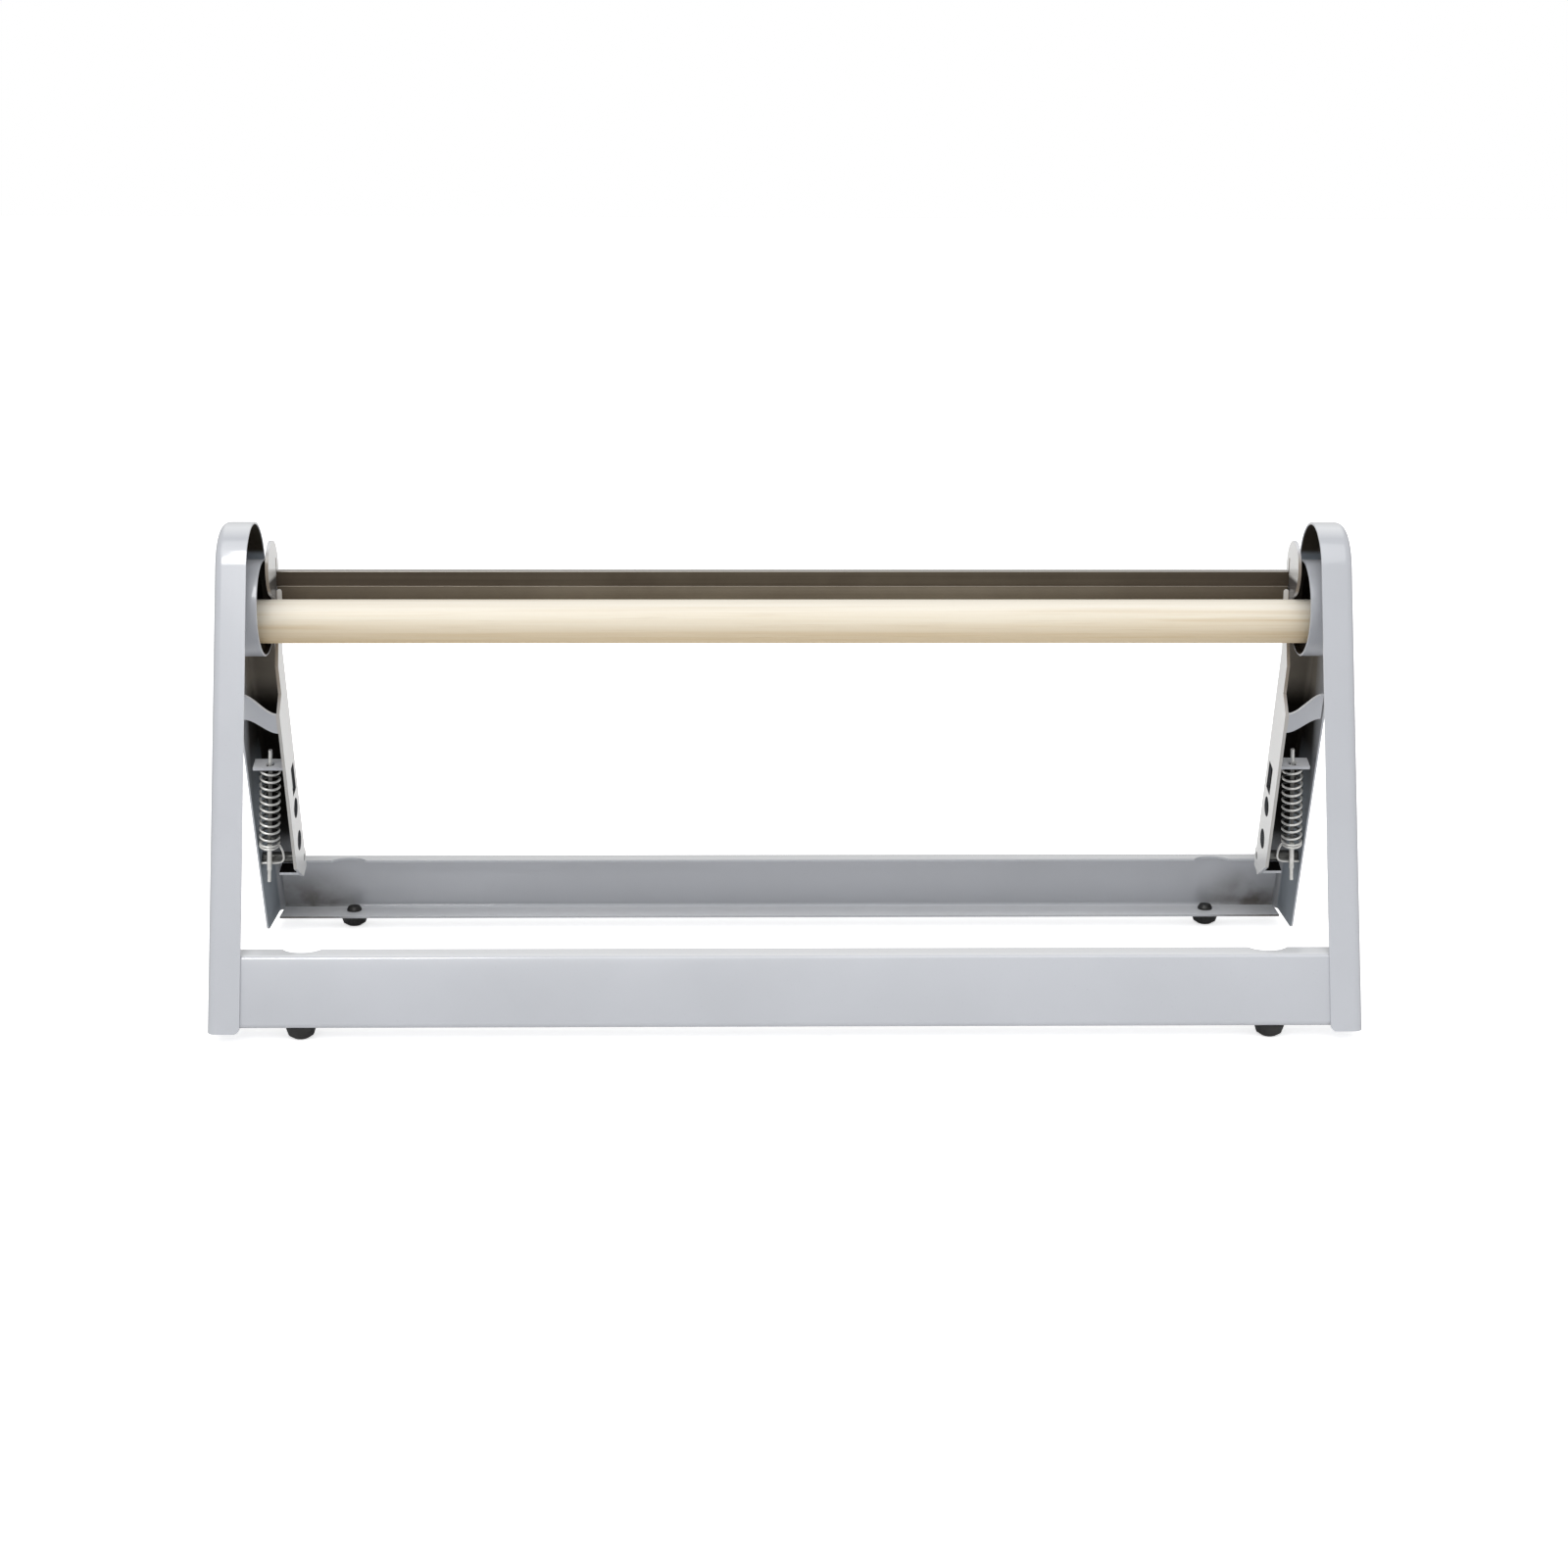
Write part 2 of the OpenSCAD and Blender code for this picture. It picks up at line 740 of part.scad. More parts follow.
// The wire's least gap to itself, measured between its far apart points
self_gap = min([
    for (i = [0 : len(wire_path) - 1])
        for (j = [i + 4 : 1 : len(wire_path) - 1])
            norm(wire_path[i] - wire_path[j])
]) - wire_dia;
echo(least_gap_of_spring_wire_to_itself = self_gap);

left_hand() side_frame();  // left_side_frame
side_frame();  // right_side_frame
cross_plate(true);  // front_cross_plate
cross_plate(false);  // rear_cross_plate
left_hand() roll_cup();  // left_roll_cup
roll_cup();  // right_roll_cup
roll_dowel();
left_hand() blade_arm();  // left_blade_arm
blade_arm();  // right_blade_arm
blade_bar();
cutting_blade();
left_hand() pivot_pin();  // left_pivot_pin
pivot_pin();  // right_pivot_pin
left_hand() pivot_spacer();  // left_pivot_spacer
pivot_spacer();  // right_pivot_spacer
left_hand() spring();  // left_spring
spring();  // right_spring
left_hand() spring_rod();  // left_spring_rod
spring_rod();  // right_spring_rod
foot(true, -1);  // front_left_foot
foot(true, 1);  // front_right_foot
foot(false, 1);  // rear_left_foot
foot(false, -1);  // rear_right_foot
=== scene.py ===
"""Looks of a counter-top paper cutter: grey enamelled frame, wooden roll dowel, steel blade bar.

Metres throughout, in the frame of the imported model: +X along the dowel, -Y to the front, +Z up.
A span is a pair of values between which a region fades in or out.
"""

import json
import math
from collections import namedtuple

import bmesh
import bpy
from mathutils import Matrix, Vector


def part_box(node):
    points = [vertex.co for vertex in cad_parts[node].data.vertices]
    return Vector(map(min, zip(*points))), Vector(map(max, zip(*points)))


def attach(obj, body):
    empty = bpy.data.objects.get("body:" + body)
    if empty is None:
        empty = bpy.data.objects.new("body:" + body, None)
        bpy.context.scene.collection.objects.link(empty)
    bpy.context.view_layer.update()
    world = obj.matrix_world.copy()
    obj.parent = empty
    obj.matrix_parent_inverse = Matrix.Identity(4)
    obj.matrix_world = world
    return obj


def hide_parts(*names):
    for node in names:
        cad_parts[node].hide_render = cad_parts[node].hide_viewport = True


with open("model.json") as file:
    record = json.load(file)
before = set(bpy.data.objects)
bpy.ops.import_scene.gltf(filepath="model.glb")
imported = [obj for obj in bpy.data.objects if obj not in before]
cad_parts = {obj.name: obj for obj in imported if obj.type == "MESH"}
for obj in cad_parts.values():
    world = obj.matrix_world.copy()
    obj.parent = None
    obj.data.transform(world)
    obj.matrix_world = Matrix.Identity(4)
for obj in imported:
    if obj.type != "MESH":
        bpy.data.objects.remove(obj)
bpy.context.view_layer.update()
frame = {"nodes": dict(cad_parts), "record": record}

# Photograph

IMAGE_WIDTH = 1600
FOCAL_PIXELS = 2590.678
SENSOR_WIDTH = 36
EYE = Vector((-0.0273, -1.5111, 0.5230))
YAW = -0.0180033
PITCH = 0.2578309
ROLL = 0.0033147
NEAREST_SEEN = 0.05
FARTHEST_SEEN = 60


def make_camera():
    """The camera of the photograph, looking slightly down on the cutter from the front."""
    data = bpy.data.cameras.new("photo_camera")
    data.sensor_width = SENSOR_WIDTH
    data.lens = FOCAL_PIXELS / IMAGE_WIDTH * SENSOR_WIDTH
    data.clip_start = NEAREST_SEEN
    data.clip_end = FARTHEST_SEEN
    camera = bpy.data.objects.new("photo_camera", data)
    bpy.context.scene.collection.objects.link(camera)
    aim = Matrix.Rotation(YAW, 4, "Z") @ Matrix.Rotation(math.pi / 2 - PITCH, 4, "X")
    camera.matrix_world = Matrix.Translation(EYE) @ aim @ Matrix.Rotation(ROLL, 4, "Z")
    bpy.context.scene.camera = camera


# Shader maths

NOISE_SPAN = (0.3, 0.7)
INWARD_SPAN = (-0.008, -0.002)
HEIGHT_SPAN = 0.3


def colour(red, green, blue):
    return (red, green, blue, 1.0)


class Socket:
    """An output socket that can be used in arithmetic."""

    def __init__(self, shade, socket):
        self.shade = shade
        self.socket = socket

    def _maths(self, operation, *values):
        return self.shade.node("ShaderNodeMath", {"operation": operation}, *values)

    def __add__(self, other):
        return self._maths("ADD", self, other)

    def __rsub__(self, other):
        return self._maths("SUBTRACT", other, self)

    def __mul__(self, other):
        return self._maths("MULTIPLY", self, other)

    def __abs__(self):
        return self._maths("ABSOLUTE", self)


class Shade:
    """A material being built: its node tree and its Principled shader."""

    def __init__(self, name, **fixed):
        self.material = bpy.data.materials.new(name)
        self.material.use_nodes = True
        self.tree = self.material.node_tree
        self.shader = self.tree.nodes["Principled BSDF"]
        for socket, value in fixed.items():
            self.shader.inputs[socket.replace("_", " ")].default_value = value

    def node(self, kind, settings=None, *values, out=0, **named):
        """A node of one type, with its settings, then its inputs in order or by name."""
        made = self.tree.nodes.new(kind)
        settings = dict(settings or {})
        stops = settings.pop("stops", None)
        for key, value in settings.items():
            setattr(made, key, value)
        if stops:
            self._set_stops(made.color_ramp, stops)
        for index, value in enumerate(values):
            self._feed(made.inputs[index], value)
        for name, value in named.items():
            self._feed(made.inputs[name.replace("_", " ")], value)
        return Socket(self, made.outputs[out])

    def _set_stops(self, ramp, stops):
        while len(ramp.elements) < len(stops):
            ramp.elements.new(1.0)
        for element, (position, tone) in zip(ramp.elements, stops):
            element.position = position
            element.color = tone

    def _feed(self, socket, value):
        if isinstance(value, Socket):
            self.tree.links.new(value.socket, socket)
        elif value is not None:
            socket.default_value = value

    def place(self):
        """Where a point is, in the object's own coordinates, in metres."""
        return self.node("ShaderNodeTexCoord", out="Object")

    def facing(self):
        """Which way the surface faces, in the object's own directions."""
        return self.node("ShaderNodeTexCoord", out="Normal")

    def _part(self, vector, axis):
        return self.node("ShaderNodeSeparateXYZ", None, vector, out=axis)

    def at(self, axis):
        """How far along one axis a point is."""
        return self._part(self.place(), axis)

    def towards(self, axis):
        """How much the surface faces along one axis, from -1 to 1."""
        return self._part(self.facing(), axis)

    def away_from(self, centre):
        """The way from a fixed point to the surface."""
        return self.node("ShaderNodeVectorMath", {"operation": "SUBTRACT"}, self.place(), centre)

    def dot(self, first, second):
        return self.node(
            "ShaderNodeVectorMath", {"operation": "DOT_PRODUCT"}, first, second, out="Value"
        )

    def inward(self, centre):
        """How far the surface faces towards a point, from 0 outside to 1 inside."""
        return self.fall(self.dot(self.away_from(centre), self.facing()), INWARD_SPAN)

    def stretched(self, scale):
        """The place of a point, scaled by a different amount along each direction."""
        return self.node("ShaderNodeMapping", None, self.place(), Scale=scale)

    def noise(self, vector, scale, detail, roughness=0.5):
        return self.node(
            "ShaderNodeTexNoise", None,
            Vector=vector, Scale=scale, Detail=detail, Roughness=roughness, out="Fac",
        )

    def ramp(self, factor, stops):
        return self.node("ShaderNodeValToRGB", {"stops": stops}, factor, out="Color")

    def by_height(self, tones):
        """A colour that changes with height, given as pairs of height and tone."""
        share = self.at("Z") * (1 / HEIGHT_SPAN)
        return self.ramp(share, [(height / HEIGHT_SPAN, tone) for height, tone in tones])

    def level(self, value, span, to):
        """A value spread from one range to another and kept within it."""
        return self.node("ShaderNodeMapRange", {"clamp": True}, value, *span, *to)

    def rise(self, value, span):
        """From 0 to 1 as a value passes through a span."""
        return self.level(value, span, (0.0, 1.0))

    def fall(self, value, span):
        """From 1 to 0 as a value passes through a span."""
        return self.level(value, span, (1.0, 0.0))

    def blend(self, factor, first, second):
        """A mix of two colours. The Mix node's colour inputs and output go by number."""
        made = self.tree.nodes.new("ShaderNodeMix")
        made.data_type = "RGBA"
        self._feed(made.inputs["Factor"], factor)
        self._feed(made.inputs[6], first)
        self._feed(made.inputs[7], second)
        return Socket(self, made.outputs[2])

    def bump(self, height, strength, distance):
        return self.node(
            "ShaderNodeBump", None, Strength=strength, Distance=distance, Height=height
        )

    def finish(self, **sockets):
        for name, value in sockets.items():
            self._feed(self.shader.inputs[name.replace("_", " ")], value)
        return self.material


# Sizes of the model that the finishes follow

TAB_UP = 0.072
ROD_OUT = 0.3217
ROD_SLOPE = 0.106
ROD_ACROSS = -0.003
COIL_RADIUS = 0.00605
WIRE_RADIUS = 0.00075
COIL_LOW = 0.012
COIL_HIGH = TAB_UP - 0.00205
ARM_LEAN = math.radians(17.5)
ARM_FOOT = (0.060989, 0.0595)
SHEET = 0.0013
ARM_GAP = 0.0024
web_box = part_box("right_side_frame")
cup_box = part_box("right_roll_cup")
LIP_EDGE = web_box[0][0]
WEB_INSIDE = web_box[1][0] - SHEET
ARM_OUTSIDE = cup_box[0][0] - ARM_GAP
FRAME_MIDDLE = (0.0, 0.0, 0.150)
CUP_MIDDLE = (0.0, 0.0, (cup_box[0][2] + cup_box[1][2]) / 2)


def arm_step(across, up):
    """The depth and height of a step across and up a blade arm."""
    return (
        across * math.cos(ARM_LEAN) - up * math.sin(ARM_LEAN),
        across * math.sin(ARM_LEAN) + up * math.cos(ARM_LEAN),
    )


# Enamel

PAINT_IOR = 1.5
ENAMEL_TONES = [
    (0.35, colour(0.545, 0.562, 0.600)),
    (0.65, colour(0.580, 0.598, 0.640)),
]
SPECK_SPAN = (0.70, 0.80)
SPECK_SHARE = 0.25
SPECK_TONE = colour(0.42, 0.43, 0.46)
DULL_ROUGHNESS = 0.4

# A region has a mask, the tone it takes, how far its gloss is dulled, and where it gives back no light.
Region = namedtuple("Region", "mask tone dulled lightless", defaults=(0.0, None))


def enamel(name, *regions):
    """Light grey enamel, semi-gloss with a faint orange-peel, toned and dulled in some regions, mostly
    with painted light and shade.

    A lightless part is made metallic, because metal of a nearly black colour has almost no gloss.
    At most one region of a finish has one.
    """
    shade = Shade(name, Coat_IOR=PAINT_IOR, IOR=PAINT_IOR, Coat_Roughness=0.10)
    place = shade.place()
    drift = shade.noise(place, scale=9.0, detail=3.0)
    peel = shade.noise(place, scale=420.0, detail=2.0)
    base = shade.ramp(drift, ENAMEL_TONES)
    speck = shade.rise(shade.noise(place, scale=900.0, detail=1.0), SPECK_SPAN)
    base = shade.blend(speck * SPECK_SHARE, base, SPECK_TONE)
    cloud = shade.noise(place, scale=30.0, detail=4.0)
    rough = shade.level(cloud, NOISE_SPAN, to=(0.30, 0.40))
    gloss = shade.level(drift, NOISE_SPAN, to=(0.8, 0.95))
    metal = None
    for make_region in regions:
        region = make_region(shade)
        base = shade.blend(region.mask, base, region.tone)
        rough = rough + region.mask * (DULL_ROUGHNESS * region.dulled)
        gloss = gloss * (1 - region.mask * region.dulled)
        if region.lightless is not None:
            metal = region.lightless * region.mask
    return shade.finish(
        Base_Color=base,
        Roughness=rough,
        Metallic=metal,
        Coat_Weight=gloss,
        Normal=shade.bump(peel, strength=0.05, distance=0.0004),
    )


# Regions of the side frames

CHANNEL_LIP = (LIP_EDGE + 0.0003, LIP_EDGE + 0.0006)
CHANNEL_WEB = (WEB_INSIDE + 0.0002, WEB_INSIDE + 0.0004)
ON_WEB = (WEB_INSIDE - 0.0008, WEB_INSIDE - 0.0002)
# Painted light low on the web inside the channel.
LIT_WEB_HEIGHT = (0.085, 0.138)
LIT_WEB_SHARE = 0.8
LIT_WEB_TONE = colour(0.26, 0.30, 0.34)
LIP_REAR = (-0.030, -0.010)
WEB_REAR = (0.015, 0.045)
BLACK_FROM = (0.058, 0.068)
BLACK_TO = (0.164, 0.176)
BLACK_UNDER_ARCH = (0.2625, 0.2660)
# Painted shade by height inside the channel, with a painted blue-grey band of light below the arch.
CHANNEL_TONES = [
    (0.045, colour(0.390, 0.400, 0.420)),
    (0.066, colour(0.030, 0.029, 0.029)),
    (0.080, colour(0.010, 0.009, 0.008)),
    (0.160, colour(0.014, 0.012, 0.010)),
    (0.180, colour(0.170, 0.150, 0.122)),
    (0.225, colour(0.160, 0.138, 0.110)),
    (0.250, colour(0.340, 0.385, 0.430)),
    (0.262, colour(0.320, 0.360, 0.400)),
    (0.265, colour(0.085, 0.070, 0.052)),
]
LOOKS_UP = (0.80, 0.95)
UPPER_TONE = colour(0.84, 0.855, 0.88)
LOOKS_OUT = (0.20, 0.33)
NEAR_WEB = (WEB_INSIDE - 0.002, WEB_INSIDE)
# Painted shade on the outer faces of the side frames.
FLANK_SHADE_TONE = colour(0.40, 0.41, 0.435)


def channel_inside(shade):
    """Painted shade on the rear half of a side frame's inside, nearly black behind the spring, with
    painted light in a blue-grey band below the arch and low on the web.
    """
    out = abs(shade.at("X"))
    height = shade.at("Z")
    depth = shade.at("Y")
    below_edge = shade.rise(out, CHANNEL_LIP)
    before_web = shade.fall(out, CHANNEL_WEB)
    on_web = shade.rise(out, ON_WEB)
    lit_web = on_web * shade.fall(height, LIT_WEB_HEIGHT)
    tone = shade.blend(lit_web * LIT_WEB_SHARE, shade.by_height(CHANNEL_TONES), LIT_WEB_TONE)
    lightless = shade.rise(height, BLACK_FROM) * shade.fall(height, BLACK_TO)
    lightless = lightless * (1 - lit_web) + shade.rise(height, BLACK_UNDER_ARCH)
    rear_of_lip = shade.rise(depth, LIP_REAR) * (1 - on_web)
    rearward = rear_of_lip + shade.rise(depth, WEB_REAR) * on_web
    mask = shade.inward(FRAME_MIDDLE) * below_edge * before_web * rearward
    return Region(mask, tone, 1.0, lightless)


def upper_face(shade):
    """Painted light on the faces that look straight up."""
    return Region(shade.rise(shade.towards("Z"), LOOKS_UP), UPPER_TONE)


def outer_flank(shade):
    """Painted shade on the outer faces of the side frames, which are also less glossy."""
    across = shade.at("X")
    outward = shade.rise(across * shade.towards("X"), LOOKS_OUT)
    return Region(outward * shade.rise(abs(across), NEAR_WEB), FLANK_SHADE_TONE, 0.8)


# Regions of the blade arms

PAST_ARM = (ARM_OUTSIDE + 0.0002, ARM_OUTSIDE + 0.0006)
WITHIN_ARM = (ARM_OUTSIDE + 0.0001, ARM_OUTSIDE + 0.0002)
LOOKS_DOWN = (-0.5, -0.3)
FLANGE_LOOKS_UP = (0.5, 0.6)
FLANGE_HEIGHT = (0.062, 0.066)
HIDDEN_BLACK_TO = (0.166, 0.178)
HIDDEN_TONES = [
    (0.170, colour(0.012, 0.010, 0.009)),
    (0.186, colour(0.130, 0.112, 0.090)),
]
HOLES_FRONT = (-0.0125, -0.0120)
HOLES_REAR = (0.0040, 0.0045)
HOLES_TOP = (0.074, 0.075)
HOLES_LOW = (0.0085, 0.0090)
LOOKS_SIDEWAYS = (0.35, 0.50)
HOLE_TONE = colour(0.050, 0.052, 0.058)
# Painted light on the finger over the dowel.
FINGER_SPAN = (0.3078, 0.3082)
FINGER_LIGHT_TONE = colour(0.86, 0.84, 0.81)
LOOKS_TO_MIDDLE = (-0.20, -0.12)
BAR_SHADOW_LOW = (0.226, 0.230)
BAR_SHADOW_TOP = (0.2505, 0.2530)
BAR_SHADOW_REAR = (0.0160, 0.0175)
ARM_LIT_TONE = colour(0.96, 0.96, 0.95)
BAR_SHADOW_TONE = colour(0.10, 0.10, 0.105)
LOOKS_FORWARD = (-0.75, -0.55)
# Painted shade and a painted reflection of the wood on an arm's front edge, by height.
CUT_EDGE_SHADE_TONES = [
    (0.150, colour(0.56, 0.55, 0.53)),
    (0.170, colour(0.60, 0.57, 0.54)),
    (0.185, colour(0.38, 0.32, 0.26)),
    (0.262, colour(0.32, 0.27, 0.22)),
    (0.272, colour(0.56, 0.57, 0.59)),
]
# Painted light on the upper faces of the lug, the tab and the ears.
LUG_LOOKS_UP = (0.45, 0.70)
LUG_HEIGHT = (0.10, 0.12)
LUG_LIGHT_TONE = colour(0.86, 0.87, 0.89)


def by_arm_axis(shade, across, up):
    """How far a point lies along a direction given across and up a blade arm."""
    return shade.dot(shade.away_from((0.0, *ARM_FOOT)), (0.0, *arm_step(across, up)))


def arm_hidden(shade):
    """Painted shade under a blade arm's lug and tab, and on top of its foot flange."""
    height = shade.at("Z")
    upward = shade.towards("Z")
    past_arm = shade.rise(abs(shade.at("X")), PAST_ARM)
    beneath = shade.fall(upward, LOOKS_DOWN) * past_arm
    low = shade.fall(height, FLANGE_HEIGHT)
    flange_top = shade.rise(upward, FLANGE_LOOKS_UP) * low * past_arm
    mask = 1 - (1 - beneath) * (1 - flange_top)
    return Region(mask, shade.by_height(HIDDEN_TONES), 1.0, shade.fall(height, HIDDEN_BLACK_TO))


def arm_holes(shade):
    """Painted shade on the walls of the round holes and of the tab's window."""
    across = by_arm_axis(shade, 1.0, 0.0)
    up = by_arm_axis(shade, 0.0, 1.0)
    inside = shade.rise(across, HOLES_FRONT) * shade.fall(across, HOLES_REAR)
    inside = inside * shade.fall(up, HOLES_TOP) * shade.rise(up, HOLES_LOW)
    plate = shade.fall(abs(shade.at("X")), WITHIN_ARM)
    wall = shade.fall(abs(shade.towards("X")), LOOKS_SIDEWAYS)
    return Region(inside * plate * wall, HOLE_TONE, 0.9)


def finger_face(shade):
    """Painted light on the small finger that stands over the dowel."""
    return Region(shade.fall(abs(shade.at("X")), FINGER_SPAN), FINGER_LIGHT_TONE)


def arm_inside(shade):
    """Painted light on the faces of a blade arm that look to the middle, with shade by the bar."""
    height = shade.at("Z")
    to_middle = shade.fall(shade.at("X") * shade.towards("X"), LOOKS_TO_MIDDLE)
    by_bar = shade.rise(height, BAR_SHADOW_LOW) * shade.fall(height, BAR_SHADOW_TOP)
    by_bar = by_bar * shade.fall(shade.at("Y"), BAR_SHADOW_REAR)
    return Region(to_middle, shade.blend(by_bar, ARM_LIT_TONE, BAR_SHADOW_TONE), 0.15)


def arm_cut_edge(shade):
    """Painted shade and a painted reflection of the wood on the sheared front edge of a blade arm,
    brown above the lug and light grey below it.
    """
    forward = shade.fall(shade.towards("Y"), LOOKS_FORWARD)
    plate = shade.fall(abs(shade.at("X")), PAST_ARM)
    return Region(forward * plate, shade.by_height(CUT_EDGE_SHADE_TONES), 0.6)


def lug_top(shade):
    """Painted light on the upper faces of the lug, the tab and the ears."""
    upward = shade.rise(shade.towards("Z"), LUG_LOOKS_UP)
    return Region(upward * shade.rise(shade.at("Z"), LUG_HEIGHT), LUG_LIGHT_TONE)


# Regions of the cups and of the rear cross plate

CUP_INWARD = (-0.006, -0.002)
# Painted shade on a cup's walls.
CUP_WALL_SHADE_TONE = colour(0.48, 0.495, 0.53)
CUP_INSIDE_TONE = colour(0.045, 0.037, 0.029)
PLATE_ENDS = (0.278, 0.306)
PLATE_LOOKS_FORWARD = (-0.3, -0.1)
# Brown, cloudy darkening low at the ends of the rear cross plate.
END_DARK_HEIGHT = (0.014, 0.040)
END_DARK_CLOUD = (0.35, 0.6)
END_DARK_SHARE = 0.9
END_DARK_TONE = colour(0.10, 0.085, 0.072)
SHADED_HEIGHT = (0.012, 0.042)
SHADED_MOST = 0.55
UPRIGHT = (0.5, 0.7)
SHADED_TONE = colour(0.36, 0.37, 0.39)


def cup_wall(shade):
    """Painted shade on all of a cup but its upward faces, a little darker than the frame beside it."""
    return Region(shade.fall(shade.towards("Z"), LOOKS_UP), CUP_WALL_SHADE_TONE, 0.3)


def cup_inside(shade):
    """Painted shade inside a cup."""
    flat = shade.node(
        "ShaderNodeVectorMath", {"operation": "MULTIPLY"}, shade.facing(), (0.0, 1.0, 1.0)
    )
    mask = shade.fall(shade.dot(shade.away_from(CUP_MIDDLE), flat), CUP_INWARD)
    return Region(mask, CUP_INSIDE_TONE, 1.0, mask)


def plate_ends(shade):
    """Brown, cloudy darkening low down at each end of the rear cross plate."""
    ends = shade.rise(abs(shade.at("X")), PLATE_ENDS)
    ends = ends * shade.fall(shade.towards("Y"), PLATE_LOOKS_FORWARD)
    low = shade.fall(shade.at("Z"), END_DARK_HEIGHT)
    cloud = shade.noise(shade.place(), scale=60.0, detail=3.0)
    cloud = shade.level(cloud, END_DARK_CLOUD, to=(0.5, 1.0))
    return Region(ends * low * cloud * END_DARK_SHARE, END_DARK_TONE, 0.6)


def plate_foot(shade):
    """Painted shade on the lower half of the rear cross plate."""
    low = shade.level(shade.at("Z"), SHADED_HEIGHT, to=(SHADED_MOST, 0.0))
    upright = shade.fall(abs(shade.towards("Z")), UPRIGHT)
    return Region(low * upright, SHADED_TONE, 0.3)


# Wood, steel, zinc and rubber

WOOD_TONES = [
    (0.34, colour(0.600, 0.450, 0.270)),
    (0.43, colour(0.760, 0.630, 0.440)),
    (0.51, colour(0.880, 0.790, 0.630)),
    (0.64, colour(0.930, 0.860, 0.720)),
]
PORE_TONE = colour(0.50, 0.36, 0.20)
# Painted shade underneath the dowel and painted light on its top.
UNDERSIDE_SHADE_TONE = colour(0.780, 0.590, 0.340)
TOP_LIGHT_TONE = colour(0.990, 0.945, 0.850)
PORE_SPAN = (0.58, 0.76)
UNDERSIDE_SHADE_SPAN = (-0.95, 0.35)
TOP_LIGHT_SPAN = (0.35, 0.80)
STRIP_ENDS = (0.10, 0.31)
STRIP_LOOKS_UP = (0.35, 0.65)
ZINC_TONES = [
    (0.3, colour(0.72, 0.72, 0.69)),
    (0.7, colour(0.90, 0.89, 0.86)),
]
BETWEEN_TURNS_TONE = colour(0.04, 0.038, 0.035)
BETWEEN_TURNS_SHARE = 0.85
COIL_FOOT = (COIL_LOW, COIL_LOW + 0.002)
COIL_TOP = (COIL_HIGH, COIL_HIGH + 0.001)
BEHIND_AXIS = (ROD_ACROSS - 0.0015, ROD_ACROSS + 0.0010)
RUBBER_TONES = [
    (0.3, colour(0.008, 0.008, 0.008)),
    (0.7, colour(0.018, 0.017, 0.016)),
]


def hardwood():
    """Pale sanded hardwood with long fine grain, with painted light on top and painted shade, more
    golden, underneath.
    """
    shade = Shade("pale_hardwood")
    upward = shade.towards("Z")
    broad = shade.noise(shade.stretched((2.2, 120.0, 120.0)), scale=1.0, detail=5.0, roughness=0.55)
    streak = shade.noise(shade.stretched((4.0, 340.0, 340.0)), scale=1.0, detail=6.0, roughness=0.6)
    pore = shade.noise(shade.stretched((16.0, 1100.0, 1100.0)), scale=1.0, detail=3.0, roughness=0.6)
    base = shade.ramp(broad * 0.55 + streak * 0.45, WOOD_TONES)
    base = shade.blend(shade.level(pore, PORE_SPAN, to=(0.0, 0.30)), base, PORE_TONE)
    # Painted shade, golden tan, on the underside, and painted light on the top.
    base = shade.blend(shade.level(upward, UNDERSIDE_SHADE_SPAN, to=(0.75, 0.0)), base, UNDERSIDE_SHADE_TONE)
    base = shade.blend(shade.level(upward, TOP_LIGHT_SPAN, to=(0.0, 0.65)), base, TOP_LIGHT_TONE)
    return shade.finish(
        Base_Color=base,
        Roughness=shade.level(streak, NOISE_SPAN, to=(0.42, 0.60)),
        Normal=shade.bump(pore * 0.6 + streak * 0.4, strength=0.15, distance=0.0003),
    )


def strip_steel(name, dark, light, highlight_tone, end_tone):
    """Dark drawn strip, browner towards its ends, with a painted highlight along its upper edges."""
    shade = Shade(name, Metallic=0.75)
    drawn = shade.noise(shade.stretched((2.0, 700.0, 700.0)), scale=1.0, detail=4.0, roughness=0.6)
    cloud = shade.noise(shade.place(), scale=22.0, detail=5.0, roughness=0.6)
    base = shade.ramp(cloud * 0.5 + drawn * 0.5, [(0.32, dark), (0.68, light)])
    ends = shade.level(abs(shade.at("X")), STRIP_ENDS, to=(0.0, 0.7))
    base = shade.blend(ends, base, end_tone)
    # Painted highlight on the faces that look up.
    base = shade.blend(shade.rise(shade.towards("Z"), STRIP_LOOKS_UP), base, highlight_tone)
    return shade.finish(
        Base_Color=base,
        Roughness=shade.level(drawn, NOISE_SPAN, to=(0.36, 0.52)),
        Normal=shade.bump(drawn, strength=0.12, distance=0.0002),
    )


def zinc(name, dark, light):
    """Dull zinc plate on the pins and spacers."""
    shade = Shade(name, Metallic=0.8)
    place = shade.place()
    cloud = shade.noise(place, scale=160.0, detail=4.0, roughness=0.6)
    fine = shade.noise(place, scale=1800.0, detail=2.0)
    return shade.finish(
        Base_Color=shade.ramp(cloud, [(0.3, dark), (0.7, light)]),
        Roughness=shade.level(cloud, NOISE_SPAN, to=(0.26, 0.40)),
        Normal=shade.bump(fine, strength=0.10, distance=0.0001),
    )


